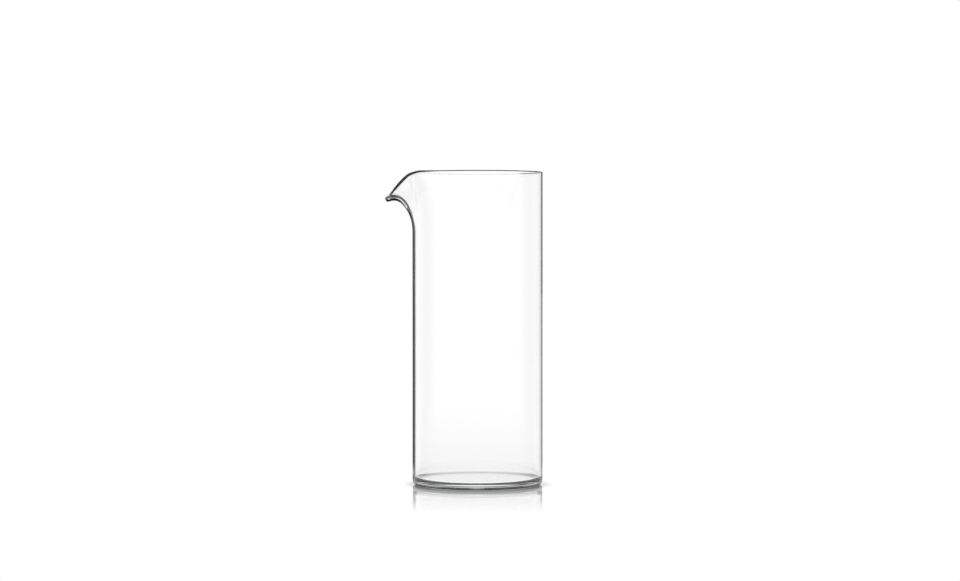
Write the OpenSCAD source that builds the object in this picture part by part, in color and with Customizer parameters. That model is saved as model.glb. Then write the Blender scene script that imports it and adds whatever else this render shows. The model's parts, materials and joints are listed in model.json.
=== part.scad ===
// Cocktail pitcher of clear glass: a straight tube on a flat fused base, with a
// fire-polished rim and a spout pulled out of the wall. Millimetres, +Z up, origin at
// the centre of the underside, spout towards -X.

/* [Tube] */
// Outside diameter of the tube
tube_d = 90; // [70:1:120]
// Thickness of the tube's wall
wall = 2; // [1.5:0.1:3]
// Height from the table to the top of the rim
height = 216; // [150:1:300]

/* [Base] */
// Thickness of the glass between the floor and the table
base_floor = 4.1; // [2.5:0.1:8]
// Radius of the rounded heel around the underside
heel_r = 3; // [1:0.1:5]
// Radius of the inner corner where the floor turns up into the wall
floor_fillet_r = 2.1; // [1:0.1:8]

/* [Rim] */
// Radius of the two fire-polished edges of the rim
rim_edge_r = 0.4; // [0.2:0.05:0.7]
// How far the top of the rim slopes down from its outer to its inner edge
rim_slope_h = 0.5; // [0.1:0.05:1.2]
// Height of the fire-polished band below the inner edge of the rim
rim_collar_h = 2; // [1:0.1:6]

/* [Spout] */
// How far the tip of the lip stands out beyond the tube
spout_reach = 18.8; // [10:0.1:26]
// How far the lip at the tip lies below the top of the rim
spout_drop = 16.5; // [8:0.1:22]
// How far below the top of the rim the wall starts to lean out
spout_root = 42; // [36:0.1:60]
// Half of the angle that the reshaped wall takes up on the tube
spout_half_angle = 60; // [50:1:70]
// Half of the angle over which the shoulders of the lip fall towards the beak
shoulder_half_angle = 38; // [28:0.5:48]
// Half of the angle that the beak takes up at its root
nose_half_angle = 23.3; // [16:0.1:28]
// Half of the angle of the keel along the beak, and of the groove above it
keel_half_angle = 6; // [5:0.1:10]
// Half of the angle of the rounded tip at the end of the keel
tip_half_angle = 3; // [2:0.5:5]
// Thickness of the glass along the keel of the beak
keel_d = 4.1; // [3.2:0.1:4.6]
// Thickness that the lip swells to on both sides of the keel
lip_bead_d = 2.9; // [2.2:0.1:3.6]
// How far the lip of the beak slopes down from its outer to its inner edge
lip_slope_h = 2.2; // [0.5:0.1:2.6]

/* [Hidden] */
$fn = 96;
// How far every cut runs past the glass that it cuts
overrun = 1;

// Radii and levels that the sections share
tube_r = tube_d / 2;
inner_r = tube_r - wall;
mid_r = tube_r - wall / 2;
base_h = base_floor + floor_fillet_r;
inner_edge_z = height - rim_edge_r - rim_slope_h;
cap_z = inner_edge_z + rim_slope_h / 2;
rim_z = inner_edge_z - rim_collar_h;
seam_z = height - spout_root;

// Part of the reach that is a broad swell of the wall, the rest being the beak
broad_share = 0.5;
// Parts of the drop that are the shoulders and the groove, the rest being the beak
shoulder_share = 0.32;
groove_share = 0.035;
// Parts of the lip's half thickness that its edges round off, on the rim and at the tip
rim_edge_share = rim_edge_r / (wall / 2);
tip_edge_share = 0.95;
// Centre line of the spout as the four points of one curve, from the root to the lip,
// in shares of the reach outwards and of the rise upwards
out_shares = [0, 0, 0.218, 1];
up_shares = [0, 0.37, 1.21, 1];
// Shares of that curve between which the wall swells to the thickness of the lip
swell_shares = [0.25, 0.65];
// How strongly the sections of the spout crowd towards its centre line
crowding = 1.5;
// Numbers of sections across the spout, of steps up its wall and round each edge of its lip
sections = 48;
wall_steps = 22;
edge_steps = 4;
// Steps for the slopes of the surface, in degrees and as a share of the curve
slope_angle = 0.05;
slope_share = 0.001;

// Middle of the wall at the tip, measured from the middle of the plain wall
keel_r = keel_d / 2;
mid_reach = tube_r + spout_reach - tip_edge_share * keel_r - mid_r;
wall_rise = cap_z - seam_z;
lip_rise = height - spout_drop - keel_r - seam_z;

// Falls from 1 at the centre line to 0 at a half angle, level at both ends
function bell(angle, half) = abs(angle) < half ? (1 + cos(180 * angle / half)) / 2 : 0;

// Rises from 0 at a start to 1 at a stop, level at both ends
function ramp(t, start, stop) =
    (1 - cos(180 * min(max((t - start) / (stop - start), 0), 1))) / 2;

// Smooth curve through shares p[0] and p[3], drawn towards p[1] and p[2]
function curve(p, t) =
    pow(1 - t, 3) * p[0] + 3 * t * pow(1 - t, 2) * p[1]
    + 3 * pow(t, 2) * (1 - t) * p[2] + pow(t, 3) * p[3];

function reach_share(angle) =
    broad_share * bell(angle, spout_half_angle) + (1 - broad_share) * bell(angle, nose_half_angle);

function drop_share(angle) =
    shoulder_share * bell(angle, shoulder_half_angle)
    + (1 - shoulder_share - groove_share) * bell(angle, nose_half_angle)
    + groove_share * bell(angle, keel_half_angle);

// Direction away from the axis at an angle from the centre line of the spout
function outward(angle) = [-cos(angle), sin(angle), 0];

// Point in the middle of the spout's wall
function mid_point(angle, t) =
    let (r = mid_r + mid_reach * reach_share(angle) * curve(out_shares, t))
    let (lowered = drop_share(angle) * (wall_rise * t - lip_rise * curve(up_shares, t)))
    r * outward(angle) + [0, 0, seam_z + wall_rise * t - lowered];

// Unit vector up along the wall
function up_wall(angle, t) =
    let (d = mid_point(angle, t + slope_share) - mid_point(angle, t - slope_share))
    d / norm(d);

// Unit vector out of the wall, straight away from the axis along the seams
function out_of_wall(angle, t) =
    let (d = mid_point(angle + slope_angle, t) - mid_point(angle - slope_angle, t))
    let (n = cross(up_wall(angle, t), d))
    t == 0 || abs(angle) == spout_half_angle ? outward(angle) : n / norm(n);

// How far the lip has changed from the plain rim, at 0, to the beak, at 1
function lip_share(angle) = bell(angle, spout_half_angle);

// Half of the wall's thickness, which swells along the spout and most along its keel
function half_wall(angle, t) =
    let (bead = (lip_bead_d - wall) / 2 * lip_share(angle))
    let (keel = (keel_d - lip_bead_d) / 2 * bell(angle, keel_half_angle))
    wall / 2 + (bead + keel) * ramp(t, swell_shares[0], swell_shares[1]);

// Points round one edge of the lip, the outer with side 1 and the inner with side -1, as
// offsets out of and up along the wall from the middle of the lip
function edge_offsets(angle, side) =
    let (half = half_wall(angle, 1))
    let (rounding = bell(angle, tip_half_angle))
    let (edge_r = half * (rim_edge_share + (tip_edge_share - rim_edge_share) * rounding))
    let (slope_h = (rim_slope_h + (lip_slope_h - rim_slope_h) * lip_share(angle)) * (1 - rounding))
    let (top_turn = 90 + atan2(slope_h, 2 * (half - edge_r)))
    [
        for (i = [0 : edge_steps])
            let (share = i / edge_steps)
            let (turn = side > 0 ? top_turn * share : top_turn + (180 - top_turn) * share)
            [side * (half - edge_r) + edge_r * cos(turn), side * slope_h / 2 + edge_r * sin(turn)]
    ];

// Closed outline of the wall at one angle: up the outside, over the lip, down the inside
function section_outline(angle) = [
    for (i = [0 : wall_steps - 1])
        let (t = i / wall_steps)
        mid_point(angle, t) + half_wall(angle, t) * out_of_wall(angle, t),
    for (side = [1, -1], offset = edge_offsets(angle, side))
        mid_point(angle, 1) + offset[0] * out_of_wall(angle, 1) + offset[1] * up_wall(angle, 1),
    for (i = [wall_steps - 1 : -1 : 0])
        let (t = i / wall_steps)
        mid_point(angle, t) - half_wall(angle, t) * out_of_wall(angle, t)
];

// Angles of the sections, closest together along the beak
section_angles = [
    for (i = [0 : sections])
        let (u = 2 * i / sections - 1)
        spout_half_angle * sign(u) * pow(abs(u), crowding)
];

// Four-cornered patch as two triangles
function two_triangles(a, b, c, d) = [[a, b, c], [a, c, d]];

// Wedge that holds the spout, cut out of the tube and out of the rim
module spout_notch() {
    far = tube_r + overrun;
    side = far * tan(spout_half_angle);
    translate([0, 0, seam_z])
        linear_extrude(spout_root + overrun)
            polygon([[0, 0], [-far, side], [-far, -side]]);
}

// Outline of the space inside, from the floor up past the top of the base
module base_hollow_outline() {
    translate([0, base_floor])
        square([inner_r - floor_fillet_r, floor_fillet_r + overrun]);
    translate([inner_r - floor_fillet_r, base_h])
        circle(floor_fillet_r);
    translate([0, base_h])
        square([inner_r, floor_fillet_r + overrun]);
}

module tube_wall() {
    color("aliceblue")
        difference() {
            translate([0, 0, base_h])
                cylinder(r = tube_r, h = rim_z - base_h);
            translate([0, 0, base_h - overrun])
                cylinder(r = inner_r, h = rim_z - base_h + 2 * overrun);
            spout_notch();
        }
}

module base_disc() {
    color("lightcyan")
        rotate_extrude()
            difference() {
                union() {
                    square([tube_r - heel_r, base_h]);
                    translate([tube_r - heel_r, heel_r])
                        circle(heel_r);
                    translate([0, heel_r])
                        square([tube_r, base_h - heel_r]);
                }
                base_hollow_outline();
            }
}

// Section of the rim: two rounded edges and the slope between them
module rim_outline() {
    outer_edge = [tube_r - rim_edge_r, height - rim_edge_r];
    inner_edge = [inner_r + rim_edge_r, inner_edge_z];
    slope = atan2(rim_slope_h, wall - 2 * rim_edge_r);
    to_top = rim_edge_r * [-sin(slope), cos(slope)];
    polygon([
        [inner_r, rim_z],
        [tube_r, rim_z],
        [tube_r, outer_edge[1]],
        outer_edge + to_top,
        inner_edge + to_top,
        [inner_r, inner_edge[1]]
    ]);
    translate(outer_edge)
        circle(rim_edge_r);
    translate(inner_edge)
        circle(rim_edge_r);
}

module rim_ring() {
    color("azure")
        difference() {
            rotate_extrude()
                rim_outline();
            spout_notch();
        }
}

module pouring_spout() {
    outlines = [for (angle = section_angles) section_outline(angle)];
    ring = len(outlines[0]);
    last = sections * ring;
    // Patches between two neighbouring sections
    skin = [
        for (i = [0 : sections - 1], j = [0 : ring - 1])
            let (a = i * ring + j, b = i * ring + (j + 1) % ring)
            each two_triangles(a, b, b + ring, a + ring)
    ];
    // Patches across the wall, from outside to inside, on the two side seams
    ends = [
        for (j = [0 : ring / 2 - 2])
            let (a = j, b = j + 1, c = ring - 2 - j, d = ring - 1 - j)
            each concat(two_triangles(d, c, b, a), two_triangles(last + a, last + b, last + c, last + d))
    ];
    color("honeydew")
        polyhedron(points = [for (outline = outlines) each outline], faces = concat(skin, ends));
}

tube_wall();
base_disc();
pouring_spout();
rim_ring();
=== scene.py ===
"""Looks of a clear glass cocktail pitcher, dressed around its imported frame. Metres, +Z up."""

import json
import math

import bpy
import numpy as np
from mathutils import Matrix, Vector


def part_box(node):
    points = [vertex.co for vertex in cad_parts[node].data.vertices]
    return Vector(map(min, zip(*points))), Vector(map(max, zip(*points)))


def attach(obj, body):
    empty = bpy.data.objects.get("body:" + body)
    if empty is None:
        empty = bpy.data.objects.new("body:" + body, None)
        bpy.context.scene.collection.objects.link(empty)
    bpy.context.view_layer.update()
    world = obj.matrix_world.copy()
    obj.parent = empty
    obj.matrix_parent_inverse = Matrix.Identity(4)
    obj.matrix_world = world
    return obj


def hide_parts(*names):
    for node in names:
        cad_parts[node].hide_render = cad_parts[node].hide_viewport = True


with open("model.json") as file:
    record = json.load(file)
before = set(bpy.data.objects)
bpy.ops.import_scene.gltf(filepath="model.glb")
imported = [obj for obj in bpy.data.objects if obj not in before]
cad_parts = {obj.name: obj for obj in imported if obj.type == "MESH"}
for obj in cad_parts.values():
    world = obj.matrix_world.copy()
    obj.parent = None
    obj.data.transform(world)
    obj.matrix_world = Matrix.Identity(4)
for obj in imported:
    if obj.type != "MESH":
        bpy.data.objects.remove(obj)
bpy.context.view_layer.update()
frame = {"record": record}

MM = 0.001

# Sizes that the frame gives
MOUNTS = {mount["name"]: mount for mount in frame["record"]["mounts"]}
TUBE_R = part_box("base_disc")[1][0]
INNER_R = MOUNTS["mouth"]["dims"]["r_mm"] * MM
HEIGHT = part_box("rim_ring")[1][2]
BASE_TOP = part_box("base_disc")[1][2]
SEAM_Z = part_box("pouring_spout")[0][2]
TIP_X = -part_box("pouring_spout")[0][0]

# Sizes of the glass that a box doesn't show
FLOOR_Z = 4.1 * MM
HEEL_R = 3 * MM
RIM_EDGE_R = 0.4 * MM
RIM_SLOPE_H = 0.5 * MM
LIP_BEAD_R = 1.45 * MM
KEEL_R = 2.05 * MM
LIP_SLOPE_H = 2.2 * MM
SPOUT_DROP = 16.5 * MM

# Half angles of the spout and of its features, in degrees
SPOUT_HALF_ANGLE = 60
SHOULDER_HALF_ANGLE = 38
NOSE_HALF_ANGLE = 23.3
KEEL_HALF_ANGLE = 6
TIP_HALF_ANGLE = 3

# Parts of the spout's reach and drop, its centre line as the shares of one curve, and the
# stretch of that curve along which the wall swells
BROAD_SHARE = 0.5
SHOULDER_SHARE = 0.32
GROOVE_SHARE = 0.035
OUT_SHARES = (0, 0, 0.218, 1)
UP_SHARES = (0, 0.37, 1.21, 1)
SWELL_SHARES = (0.25, 0.65)
# Part of the lip's half thickness that its edges round off at the tip
TIP_EDGE_SHARE = 0.95

# Values worked out from them
WALL = TUBE_R - INNER_R
RIM_EDGE_SHARE = RIM_EDGE_R / (WALL / 2)
MID_R = TUBE_R - WALL / 2
CAP_Z = HEIGHT - RIM_EDGE_R - RIM_SLOPE_H / 2
FILLET_R = BASE_TOP - FLOOR_Z
MID_REACH = TIP_X - TIP_EDGE_SHARE * KEEL_R - MID_R
WALL_RISE = CAP_Z - SEAM_Z
LIP_RISE = HEIGHT - SPOUT_DROP - KEEL_R - SEAM_Z

# Steps for the slopes of the spout's wall, as a share of its curve and in degrees
SLOPE_SHARE = 0.001
SLOPE_ANGLE = 0.05

# Numbers of points across the spout, around the rest, and along each stretch of the section
SPOUT_POINTS = 241
PLAIN_POINTS = 201
FLAT_ROWS = 10
HEEL_ROWS = 16
TUBE_ROWS = 14
SPOUT_ROWS = 56
EDGE_ROWS = 13
FILLET_ROWS = 20
# How strongly the spout's rows crowd towards the lip, and how many of them the inside leaves out there
ROW_CROWDING = 1.3
INSIDE_ROWS_LEFT_OUT = 5
# Distance of the rows that keep the shading of the wall apart from that of the lip's edges
EDGE_GUARD = 0.08 * MM

# Glass, and the streaks that drawing leaves in it
GLASS_IOR = 1.47
GLASS_TINT = (0.72, 0.85, 0.8, 1)
TINT_DENSITY = 4
STREAK_W = 9 * MM
STREAK_L = 140 * MM
STREAK_DEPTH = 0.02 * MM
STREAK_ROUGHNESS = 0.01
# Heights between which the streaks' waves set in, because the base isn't drawn
STREAK_FADE = (BASE_TOP, 3 * BASE_TOP)

# Camera
LENS_MM = 85
SENSOR_MM = 36
CAMERA_PLACE = (1.7 * MM, -1568 * MM, 165 * MM)
CAMERA_TILT_DEG = 1.13
CAMERA_CLIP_END = 50

# Brightness of the studio cards by the tangent of the angle off straight ahead, from left to right
CARDS = (
    (-1.7, 1.0), (-0.7, 1.0), (-0.58, 0.1), (-0.07, 0.1), (-0.035, 1.0),
    (0.04, 1.0), (0.08, 0.3), (0.2, 0.12), (0.38, 0.2), (0.5, 0.85), (1.7, 0.9),
)
DARK_LEVEL = 0.1
# Faces of one wall, and the brightness that a mirrored ray meets after passing through more than these
WALL_FACES = 2
VEIL_LEVEL = 0.9
# Cosines of the angle off straight ahead between which the cards, and the white behind, set in
AHEAD = (0.26, 0.64)
BACKWARD = (0.2, -0.2)
# Least y that a tangent is taken over
LEAST_AHEAD = 1e-4

# Upward parts of a ray's direction between which the low cards, the gap above them and the high
# dark of the world set in or end
LOW = (0.06, 0.04)
GAP_BOTTOM = (0.05, 0.09)
GAP_TOP = (0.2, 0.16)
HIGH = (0.16, 0.22)

# Table that the pitcher stands on, just below it so that the two faces don't coincide
TABLE_HALF = 6
TABLE_Z = -0.1 * MM
# Least tangent that the table counts as off to the side near the object, and where that fades out
NEAR_TANGENT = 0.09
NEAR_FADE = (1.2, 0.8)
# Distances from the axis between which the white behind sets in on the table
FAR_FADE = (0.3, 0.8)
# Least brightness of the cards on the table to the right of the object
FILL_FADE = (40 * MM, 60 * MM)
FILL_LEVEL = 0.3
# Painted shade under and around the base, worked out from distance in the table's own glow rather than
# cast: distances from the axis, or to the left and right for the sides, between which it sets in or ends,
# and its levels
UNDER_BASE = (46 * MM, 45 * MM)
CONTACT_OUTER = (53 * MM, 43.5 * MM)
CONTACT_INNER = (38 * MM, 42 * MM)
CONTACT_SIDES = (22 * MM, 42 * MM)
CONTACT_LEVEL = 0.45
CONTACT_SIDE_LEVEL = 0.25
BEHIND_OUTER = (450 * MM, 150 * MM)
BEHIND_INNER = (42 * MM, 50 * MM)
BEHIND_LEVEL = 0.97
# Mirror image in the table, which fades out away from the base and is weaker in a ring around it,
# except below the two wall lines: distances from the axis, to the sides and to the front
MIRROR_OUTER = (185 * MM, 70 * MM)
MIRROR_INNER = (39 * MM, 43 * MM)
MIRROR_CLOSE = (88 * MM, 55 * MM)
MIRROR_CLOSE_SHARE = 0.7
MIRROR_FAR = (70 * MM, 105 * MM)
MIRROR_SIDES = (37 * MM, 43 * MM)
MIRROR_FRONT = (-30 * MM, -50 * MM)
MIRROR_IOR = 1.5
MIRROR_GAIN = 1.7
MIRROR_ROUGHNESS = 0.04

WHITE = (1, 1, 1, 1)


def make_camera():
    data = bpy.data.cameras.new("camera")
    data.lens = LENS_MM
    data.sensor_width = SENSOR_MM
    data.clip_end = CAMERA_CLIP_END
    camera = bpy.data.objects.new("camera", data)
    camera.location = CAMERA_PLACE
    camera.rotation_euler = (math.radians(90 - CAMERA_TILT_DEG), 0, 0)
    bpy.context.collection.objects.link(camera)
    bpy.context.scene.camera = camera


def bell(angle, half):
    """Falls from 1 at 0 to 0 at a half angle, level at both ends."""
    return np.where(np.abs(angle) < half, (1 + np.cos(np.pi * angle / half)) / 2, 0)


def ramp(t, start, stop):
    """Rises from 0 at start to 1 at stop, level at both ends."""
    return (1 - np.cos(np.pi * np.clip((t - start) / (stop - start), 0, 1))) / 2


def curve(shares, t):
    """Smooth curve from the first share to the last, drawn towards the two between."""
    a, b, c, d = shares
    return (1 - t) ** 3 * a + 3 * t * (1 - t) ** 2 * b + 3 * t**2 * (1 - t) * c + t**3 * d


def reach_share(angle):
    return BROAD_SHARE * bell(angle, SPOUT_HALF_ANGLE) + (1 - BROAD_SHARE) * bell(angle, NOSE_HALF_ANGLE)


def drop_share(angle):
    beak_share = 1 - SHOULDER_SHARE - GROOVE_SHARE
    return (
        SHOULDER_SHARE * bell(angle, SHOULDER_HALF_ANGLE)
        + beak_share * bell(angle, NOSE_HALF_ANGLE)
        + GROOVE_SHARE * bell(angle, KEEL_HALF_ANGLE)
    )


def around(angle, r, z):
    """Points at angles in degrees from the spout, at radii and heights."""
    turn = np.radians(angle)
    return np.stack(np.broadcast_arrays(-r * np.cos(turn), r * np.sin(turn), z), axis=-1)


def unit(v):
    return v / np.linalg.norm(v, axis=-1, keepdims=True)


def mid_point(angle, t):
    """Middle of the wall above the spout's root: t goes from 0 at the seam to 1 at the lip."""
    r = MID_R + MID_REACH * reach_share(angle) * curve(OUT_SHARES, t)
    lowered = drop_share(angle) * (WALL_RISE * t - LIP_RISE * curve(UP_SHARES, t))
    return around(angle, r, SEAM_Z + WALL_RISE * t - lowered)


def wall_directions(angle, t):
    """Unit vectors up along the wall and out of it."""
    up = unit(mid_point(angle, t + SLOPE_SHARE) - mid_point(angle, t - SLOPE_SHARE))
    across = mid_point(angle + SLOPE_ANGLE, t) - mid_point(angle - SLOPE_ANGLE, t)
    return up, unit(np.cross(up, across))


def half_wall(angle, t):
    """Half of the wall's thickness, which swells along the spout and most along its keel."""
    swell = (LIP_BEAD_R - WALL / 2) * bell(angle, SPOUT_HALF_ANGLE)
    swell = swell + (KEEL_R - LIP_BEAD_R) * bell(angle, KEEL_HALF_ANGLE)
    return WALL / 2 + swell * ramp(t, *SWELL_SHARES)


def lip_offsets(angle, edge, share):
    """Offsets out of and up from the wall's end, on the outer edge 0 or the inner edge 1 of the rim."""
    half = half_wall(angle, 1.0)
    roundness = bell(angle, TIP_HALF_ANGLE)
    edge_r = half * (RIM_EDGE_SHARE + (TIP_EDGE_SHARE - RIM_EDGE_SHARE) * roundness)
    slope_h = RIM_SLOPE_H + (LIP_SLOPE_H - RIM_SLOPE_H) * bell(angle, SPOUT_HALF_ANGLE)
    slope_h = slope_h * (1 - roundness)
    top_turn = np.pi / 2 + np.arctan2(slope_h, 2 * (half - edge_r))
    side = 1 - 2 * edge
    turn = top_turn * share if edge == 0 else top_turn + (np.pi - top_turn) * share
    out = side * (half - edge_r) + edge_r * np.cos(turn)
    up = side * slope_h / 2 + edge_r * np.sin(turn)
    return out, up


def lip_steps():
    """Edge, share of its rounding and lowering of each row over the lip, with a row beside each edge."""
    shares = np.linspace(0, 1, EDGE_ROWS)
    steps = [(0, 0, EDGE_GUARD)]
    for edge in (0, 1):
        steps += [(edge, share, 0) for share in shares]
    return steps + [(1, 1, EDGE_GUARD)]


def close_to_ends(start, stop, count):
    """Values from start to stop, much closer together at both ends."""
    share = ramp(ramp(np.linspace(0, 1, count), 0, 1), 0, 1)
    return start + (stop - start) * share


def arc(centre_r, centre_z, r, from_deg, to_deg, count):
    """Pairs of radius and height along an arc in the section of the glass."""
    turn = np.radians(np.linspace(from_deg, to_deg, count))
    return zip(centre_r + r * np.cos(turn), centre_z + r * np.sin(turn))


def glass_rows():
    """Rows of points around the axis, from the middle of the underside to the middle of the floor."""
    spout = np.linspace(-SPOUT_HALF_ANGLE, SPOUT_HALF_ANGLE, SPOUT_POINTS)
    plain = np.linspace(SPOUT_HALF_ANGLE, 360 - SPOUT_HALF_ANGLE, PLAIN_POINTS)[1:-1]
    angle = np.concatenate([spout, plain])
    wrapped = (angle + 180) % 360 - 180
    up_steps = 1 - (1 - np.linspace(0, 1, SPOUT_ROWS)) ** ROW_CROWDING

    def ring(r, z):
        return around(angle, np.full_like(angle, r), np.full_like(angle, z))

    def wall_row(t, side):
        out = wall_directions(wrapped, t)[1]
        return mid_point(wrapped, t) + side * half_wall(wrapped, t)[:, None] * out

    rows = []
    for r in close_to_ends(0, TUBE_R - HEEL_R, FLAT_ROWS)[1:]:
        rows.append(ring(r, 0))
    for r, z in arc(TUBE_R - HEEL_R, HEEL_R, HEEL_R, -90, 0, HEEL_ROWS):
        rows.append(ring(r, z))
    for z in close_to_ends(HEEL_R, SEAM_Z, TUBE_ROWS)[1:-1]:
        rows.append(ring(TUBE_R, z))
    for t in up_steps[:-1]:
        rows.append(wall_row(t, 1))
    up, out = wall_directions(wrapped, 1.0)
    for edge, share, lowered in lip_steps():
        off_out, off_up = lip_offsets(wrapped, edge, share)
        rows.append(mid_point(wrapped, 1.0) + off_out[:, None] * out + (off_up[:, None] - lowered) * up)
    for t in up_steps[:-INSIDE_ROWS_LEFT_OUT][::-1]:
        rows.append(wall_row(t, -1))
    for z in close_to_ends(SEAM_Z, BASE_TOP, TUBE_ROWS)[1:-1]:
        rows.append(ring(INNER_R, z))
    for r, z in arc(INNER_R - FILLET_R, BASE_TOP, FILLET_R, 0, -90, FILLET_ROWS):
        rows.append(ring(r, z))
    for r in close_to_ends(INNER_R - FILLET_R, 0, FLAT_ROWS)[1:-1]:
        rows.append(ring(r, FLOOR_Z))
    return np.array(rows)


def make_glass():
    rows = glass_rows()
    n_rows, n_around = rows.shape[:2]
    points = np.concatenate([rows.reshape(-1, 3), [[0, 0, 0], [0, 0, FLOOR_Z]]])
    underside, floor = len(points) - 2, len(points) - 1
    faces = []
    for i in range(n_rows - 1):
        for j in range(n_around):
            k = (j + 1) % n_around
            a, b = i * n_around, (i + 1) * n_around
            faces.append((a + j, b + j, b + k, a + k))
    last = (n_rows - 1) * n_around
    for j in range(n_around):
        k = (j + 1) % n_around
        faces.append((underside, j, k))
        faces.append((floor, last + k, last + j))
    mesh = bpy.data.meshes.new("pitcher_glass")
    mesh.from_pydata(points.tolist(), [], faces)
    mesh.shade_smooth()
    mesh.update()
    glass = bpy.data.objects.new("pitcher_glass", mesh)
    bpy.context.collection.objects.link(glass)
    return glass


def glass_material():
    """Clear glass with the faint streaks that drawing a tube leaves along its axis."""
    material = bpy.data.materials.new("clear_glass")
    material.use_nodes = True
    nodes, links = material.node_tree.nodes, material.node_tree.links
    shader = nodes["Principled BSDF"]
    shader.inputs["Base Color"].default_value = WHITE
    shader.inputs["IOR"].default_value = GLASS_IOR
    shader.inputs["Transmission Weight"].default_value = 1
    place = nodes.new("ShaderNodeTexCoord").outputs["Object"]
    stretched = nodes.new("ShaderNodeMapping")
    stretched.inputs["Scale"].default_value = (1, 1, STREAK_W / STREAK_L)
    links.new(place, stretched.inputs["Vector"])
    streaks = nodes.new("ShaderNodeTexNoise")
    streaks.inputs["Scale"].default_value = 1 / STREAK_W
    streaks.inputs["Detail"].default_value = 1
    links.new(stretched.outputs["Vector"], streaks.inputs["Vector"])
    parts = nodes.new("ShaderNodeSeparateXYZ")
    links.new(place, parts.inputs["Vector"])
    above_base = nodes.new("ShaderNodeMapRange")
    above_base.inputs["From Min"].default_value = STREAK_FADE[0]
    above_base.inputs["From Max"].default_value = STREAK_FADE[1]
    links.new(parts.outputs["Z"], above_base.inputs["Value"])
    waves = nodes.new("ShaderNodeBump")
    links.new(above_base.outputs["Result"], waves.inputs["Strength"])
    waves.inputs["Distance"].default_value = STREAK_DEPTH
    links.new(streaks.outputs[0], waves.inputs["Height"])
    links.new(waves.outputs["Normal"], shader.inputs["Normal"])
    haze = nodes.new("ShaderNodeMapRange")
    haze.inputs["To Max"].default_value = STREAK_ROUGHNESS
    links.new(streaks.outputs[0], haze.inputs["Value"])
    links.new(haze.outputs["Result"], shader.inputs["Roughness"])
    tint = nodes.new("ShaderNodeVolumeAbsorption")
    tint.inputs["Color"].default_value = GLASS_TINT
    tint.inputs["Density"].default_value = TINT_DENSITY
    links.new(tint.outputs["Volume"], nodes["Material Output"].inputs["Volume"])
    return material


class Nodes:
    """Adds shader nodes to a tree, with inputs in order as numbers, colours or other nodes' outputs."""

    def __init__(self, tree):
        tree.nodes.clear()
        self.tree = tree

    def add(self, kind, *inputs, **settings):
        made = self.tree.nodes.new(kind)
        for name, value in settings.items():
            setattr(made, name, value)
        for socket, value in zip(made.inputs, inputs):
            if isinstance(value, bpy.types.NodeSocket):
                self.tree.links.new(value, socket)
            else:
                socket.default_value = value
        return made

    def math(self, operation, *inputs):
        return self.add("ShaderNodeMath", *inputs, operation=operation).outputs[0]

    def product(self, first, *others):
        for other in others:
            first = self.math("MULTIPLY", first, other)
        return first

    def more_than(self, count, value):
        """1 where a whole number is more than the given one, else 0."""
        return self.math("GREATER_THAN", count, value + 0.5)

    def up_to(self, count, value):
        """1 where a whole number is at most the given one, else 0."""
        return self.math("LESS_THAN", count, value + 0.5)

    def rise(self, value, start, stop):
        """0 where a value is before start and 1 past stop, smooth between."""
        made = self.add("ShaderNodeMapRange", value, start, stop, interpolation_type="SMOOTHSTEP")
        return made.outputs[0]

    def mix(self, share, first, second):
        return self.add("ShaderNodeMapRange", share, 0, 1, first, second).outputs[0]

    def xyz(self, vector):
        return self.add("ShaderNodeSeparateXYZ", vector).outputs

    def length(self, x, y):
        squares = self.math("ADD", self.product(x, x), self.product(y, y))
        return self.math("SQRT", squares)

    def cards(self, ratio):
        """Brightness of the studio cards at a tangent off straight ahead."""
        first, last = CARDS[0][0], CARDS[-1][0]
        place = self.add("ShaderNodeMapRange", ratio, first, last).outputs[0]
        made = self.add("ShaderNodeValToRGB", place)
        stops = made.color_ramp.elements
        for tangent, _ in CARDS[1:-1]:
            stops.new((tangent - first) / (last - first))
        for stop, (_, level) in zip(stops, CARDS):
            stop.color = (level, level, level, 1)
        return made.outputs[0]

    def studio(self, x, y, far, fill, low, gap, dark, lens_dark):
        """Brightness that a ray meets, by what the glass did to it on its way, and its count of passes.

        x and y say where the ray goes. The others are shares of the studio there: of the white behind
        (far), of the least light on the cards (fill), of the cards that the outside mirrors (low), of
        the white gap in the cards (gap), and of the dark around rays that one wall mirrored inside
        (dark) or only bent (lens_dark).
        """
        path = self.add("ShaderNodeLightPath").outputs
        through, bounces = path["Transmission Depth"], path["Glossy Depth"]
        one_bounce = self.up_to(bounces, 1)
        entered = self.more_than(through, 0)
        forward = self.math("DIVIDE", y, self.length(x, y))
        ahead = self.rise(forward, *AHEAD)
        back = self.product(self.rise(forward, *BACKWARD), far, one_bounce)
        card = self.cards(self.math("DIVIDE", x, self.math("MAXIMUM", y, LEAST_AHEAD)))
        card = self.mix(self.product(gap, one_bounce), self.math("MAXIMUM", card, fill), 1.0)
        outside = self.mix(self.product(ahead, low), 1.0, card)
        in_one_wall = self.mix(dark, self.mix(ahead, DARK_LEVEL, card), DARK_LEVEL)
        level = self.mix(entered, outside, in_one_wall)
        level = self.mix(self.more_than(through, WALL_FACES), level, VEIL_LEVEL)
        level = self.mix(back, level, 1.0)
        bent = self.mix(self.product(lens_dark, entered), 1.0, DARK_LEVEL)
        return self.mix(self.more_than(bounces, 0), bent, level), through


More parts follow.
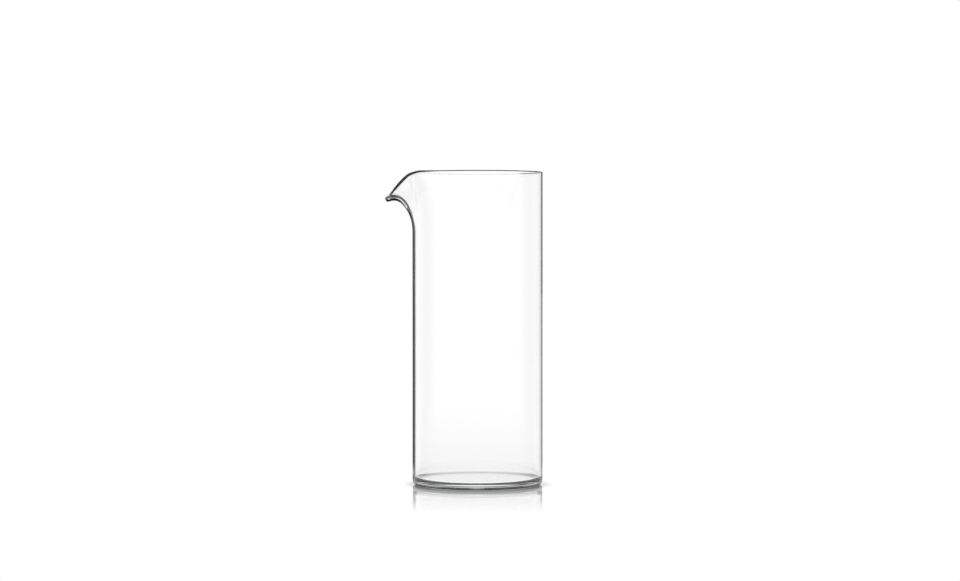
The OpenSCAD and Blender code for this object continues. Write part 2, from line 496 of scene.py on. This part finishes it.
def table_light(nodes, x, y, distance):
    """Brightness of the table: the studio's, with the painted shade under and around the base."""
    aside = nodes.math("ABSOLUTE", x)
    near = nodes.product(nodes.rise(distance, *NEAR_FADE), nodes.product(y, NEAR_TANGENT))
    past_edge = nodes.math("MAXIMUM", nodes.math("SUBTRACT", aside, TUBE_R), near)
    past_edge = nodes.product(nodes.math("MAXIMUM", past_edge, 0), nodes.math("SIGN", x))
    level, through = nodes.studio(
        past_edge,
        y,
        far=nodes.rise(distance, *FAR_FADE),
        fill=nodes.product(nodes.rise(x, *FILL_FADE), FILL_LEVEL),
        low=1.0,
        gap=0.0,
        # Painted shade: under the base the table is dark to rays mirrored after entering the glass
        dark=nodes.rise(distance, *UNDER_BASE),
        lens_dark=0.0,
    )
    # Painted contact shadow: the table's glow is darker in a ring at the base's edge, most to the left
    # and right, set by distance rather than cast
    ring = nodes.product(nodes.rise(distance, *CONTACT_OUTER), nodes.rise(distance, *CONTACT_INNER))
    sides = nodes.rise(aside, *CONTACT_SIDES)
    painted_contact_shadow = nodes.mix(ring, 1.0, nodes.mix(sides, CONTACT_LEVEL, CONTACT_SIDE_LEVEL))
    # Painted shade: the table is a little darker around the base to rays that came through the glass
    around_base = nodes.product(nodes.rise(distance, *BEHIND_OUTER), nodes.rise(distance, *BEHIND_INNER))
    behind = nodes.mix(nodes.product(around_base, nodes.more_than(through, 0)), 1.0, BEHIND_LEVEL)
    return nodes.product(level, nodes.product(painted_contact_shadow, behind))


def mirror_share(nodes, x, y, distance):
    """Share of the table's look that is the mirror image of the glass, most below the two wall lines."""
    reach = nodes.product(nodes.rise(distance, *MIRROR_OUTER), nodes.rise(distance, *MIRROR_INNER))
    close = nodes.product(nodes.rise(distance, *MIRROR_CLOSE), MIRROR_CLOSE_SHARE)
    strength = nodes.math("ADD", close, nodes.rise(distance, *MIRROR_FAR))
    sides = nodes.rise(nodes.math("ABSOLUTE", x), *MIRROR_SIDES)
    below_wall = nodes.product(sides, nodes.rise(y, *MIRROR_FRONT))
    fresnel = nodes.add("ShaderNodeFresnel", MIRROR_IOR).outputs[0]
    strength = nodes.math("MAXIMUM", strength, below_wall)
    return nodes.product(reach, strength, nodes.product(fresnel, MIRROR_GAIN))


def floor_material():
    material = bpy.data.materials.new("white_floor")
    material.use_nodes = True
    nodes = Nodes(material.node_tree)
    x, y, _ = nodes.xyz(nodes.add("ShaderNodeNewGeometry").outputs["Position"])
    distance = nodes.length(x, y)
    # The table glows rather than being lit, and its shade under and around the base is painted into that
    # glow
    white = nodes.add("ShaderNodeEmission", WHITE, table_light(nodes, x, y, distance)).outputs[0]
    gloss = nodes.add("ShaderNodeBsdfGlossy", WHITE, MIRROR_ROUGHNESS).outputs[0]
    mixed = nodes.add("ShaderNodeMixShader", mirror_share(nodes, x, y, distance), white, gloss).outputs[0]
    nodes.add("ShaderNodeOutputMaterial", mixed)
    return material


def make_floor():
    corners = [(-1, -1), (1, -1), (1, 1), (-1, 1)]
    mesh = bpy.data.meshes.new("floor")
    mesh.from_pydata([(x * TABLE_HALF, y * TABLE_HALF, TABLE_Z) for x, y in corners], [], [(0, 1, 2, 3)])
    floor = bpy.data.objects.new("floor", mesh)
    bpy.context.collection.objects.link(floor)
    floor.data.materials.append(floor_material())


def make_world():
    world = bpy.data.worlds.new("studio")
    bpy.context.scene.world = world
    world.use_nodes = True
    nodes = Nodes(world.node_tree)
    x, y, z = nodes.xyz(nodes.add("ShaderNodeTexCoord").outputs["Generated"])
    high = nodes.rise(z, *HIGH)
    level, _ = nodes.studio(
        x,
        y,
        far=1.0,
        fill=0.0,
        low=nodes.rise(z, *LOW),
        gap=nodes.product(nodes.rise(z, *GAP_BOTTOM), nodes.rise(z, *GAP_TOP)),
        dark=high,
        lens_dark=high,
    )
    background = nodes.add("ShaderNodeBackground", WHITE, level).outputs[0]
    nodes.add("ShaderNodeOutputWorld", background)


bpy.context.scene.view_settings.view_transform = "Standard"
make_camera()
glass = make_glass()
glass.data.materials.append(glass_material())
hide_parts("tube_wall", "base_disc", "pouring_spout", "rim_ring")
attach(glass, "root")
make_floor()
make_world()
